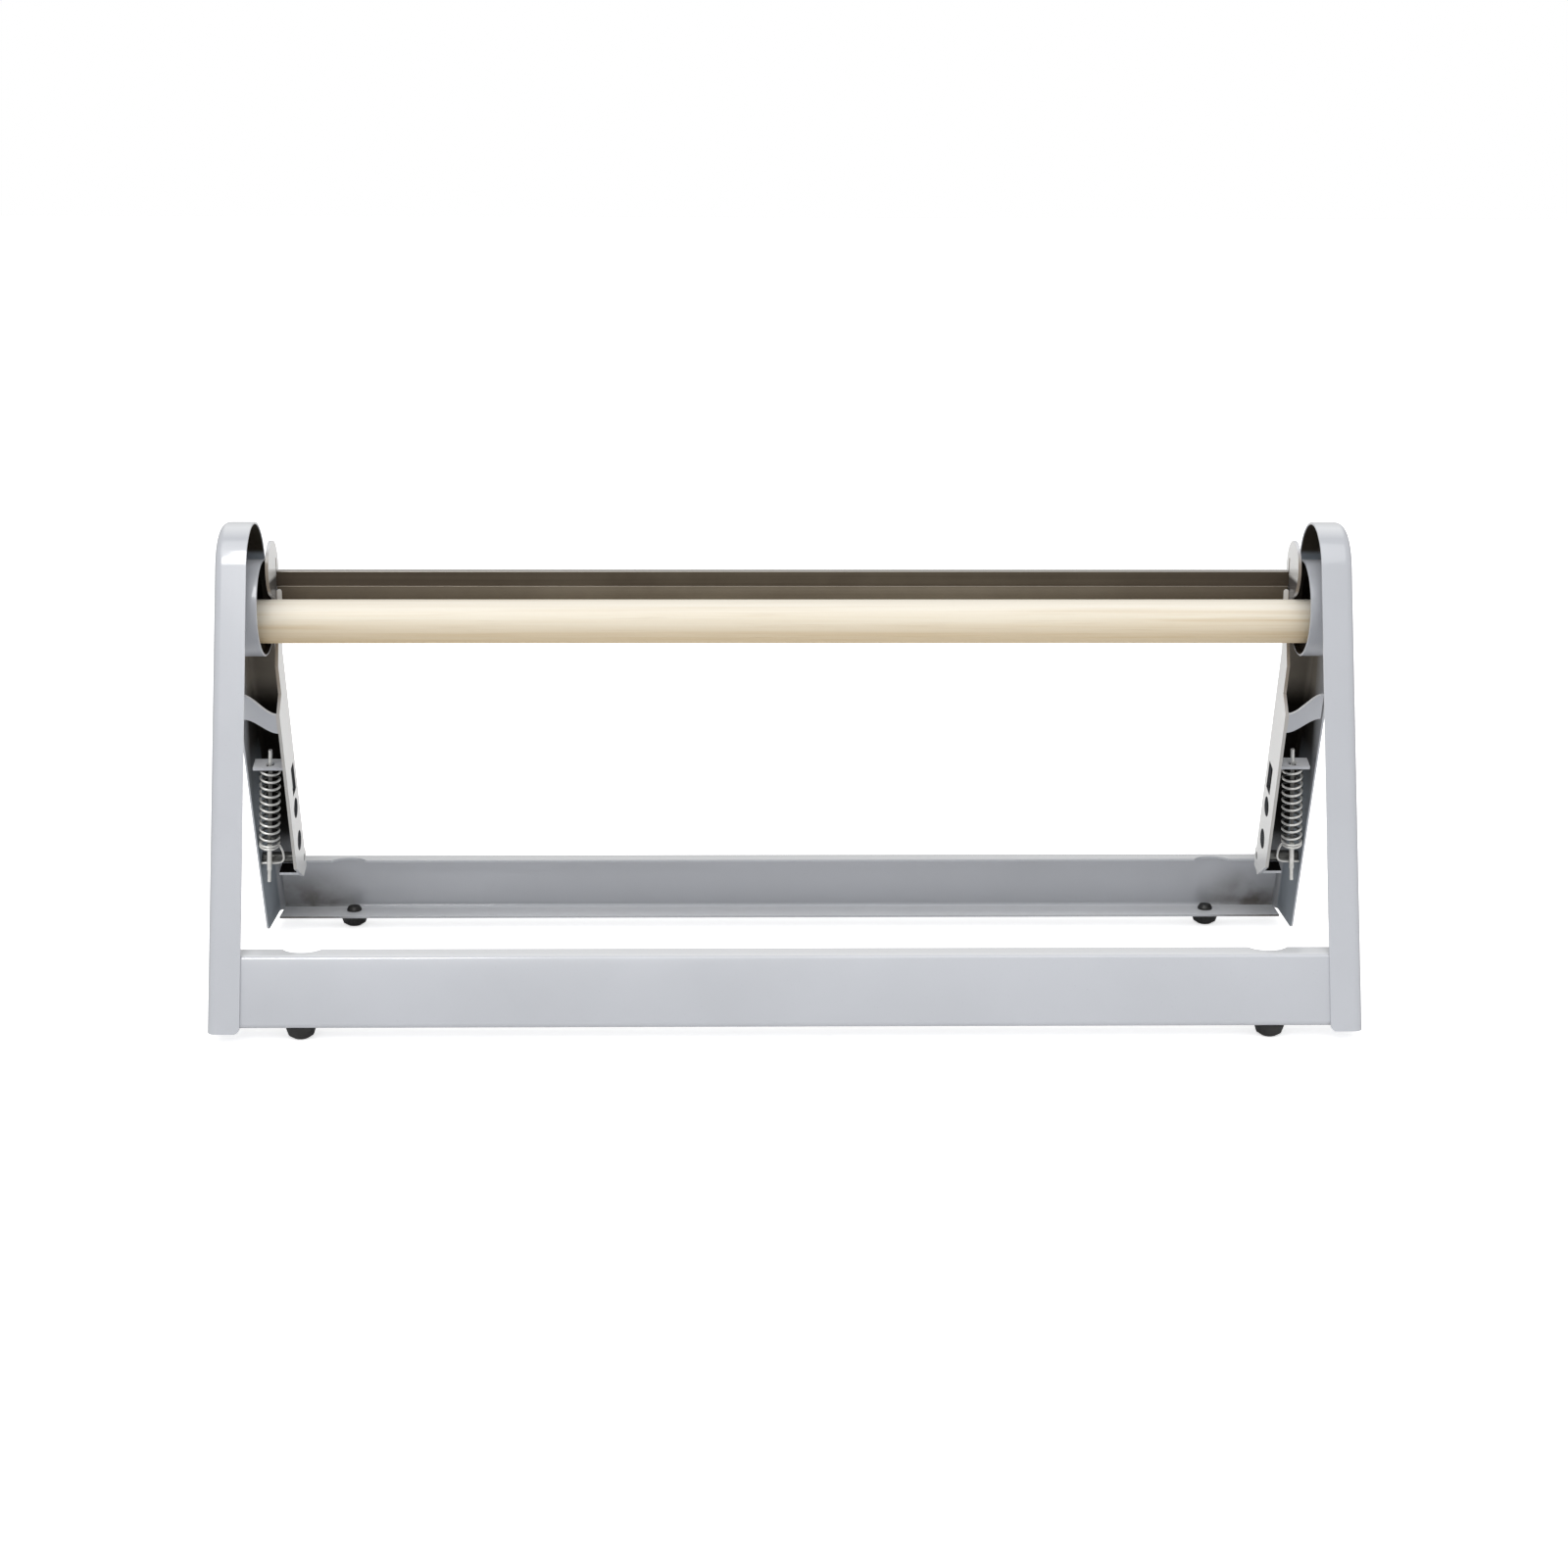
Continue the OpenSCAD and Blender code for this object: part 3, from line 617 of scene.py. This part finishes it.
def coiled_zinc(name, between_turns):
    """Bright zinc, with painted shade behind the axis of the coil or where the turns cover it."""
    shade = Shade(name, Metallic=0.75)
    up = by_arm_axis(shade, 0.0, 1.0)
    cloud = shade.noise(shade.place(), scale=260.0, detail=4.0, roughness=0.6)
    dark = shade.rise(up, COIL_FOOT) * shade.fall(up, COIL_TOP)
    if not between_turns:
        dark = dark * shade.rise(by_arm_axis(shade, 1.0, 0.0), BEHIND_AXIS)
    bright = shade.ramp(cloud, ZINC_TONES)
    return shade.finish(
        Base_Color=shade.blend(dark * BETWEEN_TURNS_SHARE, bright, BETWEEN_TURNS_TONE),
        Roughness=shade.level(cloud, NOISE_SPAN, to=(0.28, 0.42)),
        Normal=shade.bump(cloud, strength=0.10, distance=0.0001),
    )


def black_rubber():
    """Moulded black rubber of the feet."""
    shade = Shade("black_rubber", IOR=1.5)
    place = shade.place()
    cloud = shade.noise(place, scale=120.0, detail=4.0)
    fine = shade.noise(place, scale=2400.0, detail=3.0)
    return shade.finish(
        Base_Color=shade.ramp(cloud, RUBBER_TONES),
        Roughness=shade.level(cloud, NOISE_SPAN, to=(0.36, 0.50)),
        Normal=shade.bump(fine, strength=0.2, distance=0.0002),
    )


# Pieces taken from the model

MERGE_WITHIN = 2e-6
FLAT_WITHIN = math.radians(0.6)
SMOOTH_BELOW = math.radians(32)
EASED_ABOVE = math.radians(50)
EASE_SEGMENTS = 2


def refined(node, body, material, edge=0.0):
    """A merged, smooth-shaded copy of a node, with its outer edges eased, in the node's place."""
    mesh = frame["nodes"][node].data.copy()
    mesh.name = node + "_finished"
    shape = bmesh.new()
    shape.from_mesh(mesh)
    bmesh.ops.remove_doubles(shape, verts=shape.verts, dist=MERGE_WITHIN)
    bmesh.ops.dissolve_limit(
        shape, angle_limit=FLAT_WITHIN, verts=shape.verts, edges=shape.edges
    )
    for face in shape.faces:
        face.smooth = True
    for joined in shape.edges:
        joined.smooth = len(joined.link_faces) == 2 and joined.calc_face_angle() < SMOOTH_BELOW
    shape.to_mesh(mesh)
    shape.free()
    mesh.materials.clear()
    mesh.materials.append(material)
    piece = bpy.data.objects.new(node + "_finished", mesh)
    bpy.context.scene.collection.objects.link(piece)
    if edge:
        ease = piece.modifiers.new("eased_edges", "BEVEL")
        ease.width = edge
        ease.segments = EASE_SEGMENTS
        ease.limit_method = "ANGLE"
        ease.angle_limit = EASED_ABOVE
        ease.harden_normals = True
        ease.use_clamp_overlap = True
    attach(piece, body)
    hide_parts(node)


# Springs

CLOSED_TURNS = 1.5
CLOSED_PITCH = 0.00195
OPEN_TURNS = 10
RINGS_PER_TURN = 24
TAIL_ACROSS = ROD_ACROSS + 0.00265
TAIL_UP = -0.0035
TAIL_BY_WEB = (0.00065, -0.0015, -0.0050)
TAIL_BY_COIL = [
    (0.0010, 0.0, 0.0),
    (-0.0020, 0.0, 0.001),
    (-0.0032, -0.0003, 0.004),
    (-0.0026, 0.0006, 0.009),
    (-0.0006, 0.0012, 0.013),
]
WIRE_ROUNDNESS = 4
CURVE_ORDER = 4
CURVE_STEPS = 2


def rod_out(up):
    """How far out a spring rod lies, at a distance up the arm."""
    return ROD_OUT + (TAB_UP - up) * ROD_SLOPE


def by_arm(side, out, across, up):
    """A place given out from the middle, and across and up a blade arm."""
    depth, height = arm_step(across, up)
    return Vector((side * out, ARM_FOOT[0] + depth, ARM_FOOT[1] + height))


def tail_route():
    """The wire from its hole in the web, past the rod and up to the coil."""
    inner = rod_out(0) - COIL_RADIUS
    by_web = [(WEB_INSIDE + out, TAIL_ACROSS, TAIL_UP) for out in TAIL_BY_WEB]
    by_coil = [
        (inner + out, TAIL_ACROSS + across, TAIL_UP + up)
        for out, across, up in TAIL_BY_COIL
    ]
    return by_web + by_coil


def coil_route():
    """The turns round the rod, close together below and open above."""
    closed_top = COIL_LOW + CLOSED_TURNS * CLOSED_PITCH
    open_pitch = (COIL_HIGH - closed_top) / OPEN_TURNS
    route = []
    for ring in range(int((CLOSED_TURNS + OPEN_TURNS) * RINGS_PER_TURN) + 1):
        turn = ring / RINGS_PER_TURN
        open_turns = max(turn - CLOSED_TURNS, 0)
        up = COIL_LOW + min(turn, CLOSED_TURNS) * CLOSED_PITCH + open_turns * open_pitch
        angle = math.pi + math.tau * turn
        out = rod_out(up) + COIL_RADIUS * math.cos(angle)
        route.append((out, ROD_ACROSS + COIL_RADIUS * math.sin(angle), up))
    return route


def spring_wire(name, node, body, side, material):
    """One spring as a smooth round wire, in the place of its plain model."""
    data = bpy.data.curves.new(name, "CURVE")
    data.dimensions = "3D"
    data.bevel_depth = WIRE_RADIUS
    data.bevel_resolution = WIRE_ROUNDNESS
    data.use_fill_caps = True
    route = tail_route() + coil_route()
    spline = data.splines.new("NURBS")
    spline.points.add(len(route) - 1)
    for point, place in zip(spline.points, route):
        point.co = (*by_arm(side, *place), 1.0)
    spline.order_u = CURVE_ORDER
    spline.use_endpoint_u = True
    spline.resolution_u = CURVE_STEPS
    spline.use_smooth = True
    data.materials.append(material)
    piece = bpy.data.objects.new(name, data)
    bpy.context.scene.collection.objects.link(piece)
    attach(piece, body)
    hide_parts(node)


# Stage

BLACK = colour(0.0, 0.0, 0.0)
FLOOR_HALF = 12
FLOOR_WHITE = colour(0.95, 0.95, 0.95)
FLOOR_GLOW = 0.7
FLOOR_BOUNCE = colour(0.92, 0.92, 0.92)
ROOM_LIGHT = 0.52
BACKDROP_LIGHT = 1.0
KEY_DIRECTION = (0.10, 0.50, -0.86)
KEY_SPREAD = 60
KEY_STRENGTH = 1.45
BOX_PLACE = (-0.62, -1.19, 1.61)
BOX_AIM = (-0.33, 0, 0.26)
BOX_SIZE = (0.5, 0.9)
BOX_POWER = 14


def make_stage():
    """A floor and a background that look white, and give the object less light than that."""
    sweep = bmesh.new()
    bmesh.ops.create_grid(sweep, x_segments=1, y_segments=1, size=FLOOR_HALF)
    mesh = bpy.data.meshes.new("studio_floor")
    sweep.to_mesh(mesh)
    sweep.free()
    floor = bpy.data.objects.new("studio_floor", mesh)
    bpy.context.scene.collection.objects.link(floor)
    shade = Shade("studio_white", Roughness=0.9, Emission_Strength=FLOOR_GLOW)
    seen = shade.node("ShaderNodeLightPath", out="Is Camera Ray")
    tone = shade.blend(seen, FLOOR_BOUNCE, FLOOR_WHITE)
    glow = shade.blend(seen, BLACK, FLOOR_WHITE)
    mesh.materials.append(shade.finish(Base_Color=tone, Emission_Color=glow))

    world = bpy.data.worlds.new("studio_air")
    bpy.context.scene.world = world
    world.use_nodes = True
    nodes = world.node_tree.nodes
    links = world.node_tree.links
    path = nodes.new("ShaderNodeLightPath")
    strength = nodes.new("ShaderNodeMapRange")
    strength.inputs["To Min"].default_value = ROOM_LIGHT
    strength.inputs["To Max"].default_value = BACKDROP_LIGHT
    links.new(path.outputs["Is Camera Ray"], strength.inputs["Value"])
    links.new(strength.outputs["Result"], nodes["Background"].inputs["Strength"])
    nodes["Background"].inputs["Color"].default_value = colour(1.0, 1.0, 1.0)


def soft_box(name, place, aim, width, height, power):
    """A rectangular soft box that is seen in gloss alone, aimed from its place at a point."""
    data = bpy.data.lights.new(name, "AREA")
    data.shape = "RECTANGLE"
    data.size = width
    data.size_y = height
    data.energy = power
    lamp = bpy.data.objects.new(name, data)
    bpy.context.scene.collection.objects.link(lamp)
    lamp.location = place
    lamp.rotation_euler = (Vector(aim) - Vector(place)).to_track_quat("-Z", "Y").to_euler()
    lamp.visible_diffuse = False


def wide_light(name, direction, spread, strength):
    """A broad light from far off, even over the whole floor."""
    data = bpy.data.lights.new(name, "SUN")
    data.angle = math.radians(spread)
    data.energy = strength
    lamp = bpy.data.objects.new(name, data)
    bpy.context.scene.collection.objects.link(lamp)
    lamp.rotation_euler = Vector(direction).to_track_quat("-Z", "Y").to_euler()


make_camera()
make_stage()
bpy.context.scene.view_settings.view_transform = "Standard"
wide_light("key_light", KEY_DIRECTION, KEY_SPREAD, KEY_STRENGTH)
soft_box("arch_box", BOX_PLACE, BOX_AIM, *BOX_SIZE, BOX_POWER)

wire_zinc = coiled_zinc("wire_zinc", False)
dull_zinc = zinc("dull_zinc", colour(0.10, 0.10, 0.095), colour(0.18, 0.18, 0.17))
# A piece takes the first finish whose key ends its name, so the rear plate's key comes first.
finishes = {
    "side_frame": enamel("frame_enamel", upper_face, channel_inside, outer_flank),
    "blade_arm": enamel(
        "arm_enamel", arm_inside, lug_top, arm_cut_edge, arm_holes, finger_face, arm_hidden),
    "roll_cup": enamel("cup_enamel", cup_wall, cup_inside),
    "rear_cross_plate": enamel("plate_enamel", upper_face, plate_foot, plate_ends),
    "cross_plate": enamel("grey_enamel", upper_face),
    "roll_dowel": hardwood(),
    "blade_bar": strip_steel(
        "rolled_steel", colour(0.068, 0.052, 0.035), colour(0.124, 0.102, 0.073),
        colour(0.42, 0.40, 0.37), colour(0.060, 0.045, 0.032)),
    "cutting_blade": strip_steel(
        "ground_steel", colour(0.160, 0.134, 0.098), colour(0.240, 0.208, 0.160),
        colour(0.55, 0.50, 0.44), colour(0.090, 0.070, 0.050)),
    "pivot_pin": dull_zinc,
    "pivot_spacer": dull_zinc,
    "spring_rod": coiled_zinc("rod_zinc", True),
    "foot": black_rubber(),
}
eased = {"frame_paint": 0.0002, "bar_steel": 0.0006, "blade_steel": 0.0005, "zinc_plate": 0.0003}
body_of = {n: b for b, nodes in frame["record"]["behaviour"]["bodies"].items() for n in nodes}
for part in frame["record"]["subparts"]:
    name, slot = part["node"], part["material_slot"]
    side = -1 if name.startswith("left") else 1
    if name.endswith("_spring"):
        spring_wire(name + "_wire", name, body_of[name], side, wire_zinc)
        continue
    finish = next(finishes[key] for key in finishes if name.endswith(key))
    refined(name, body_of[name], finish, eased.get(slot, 0.0))
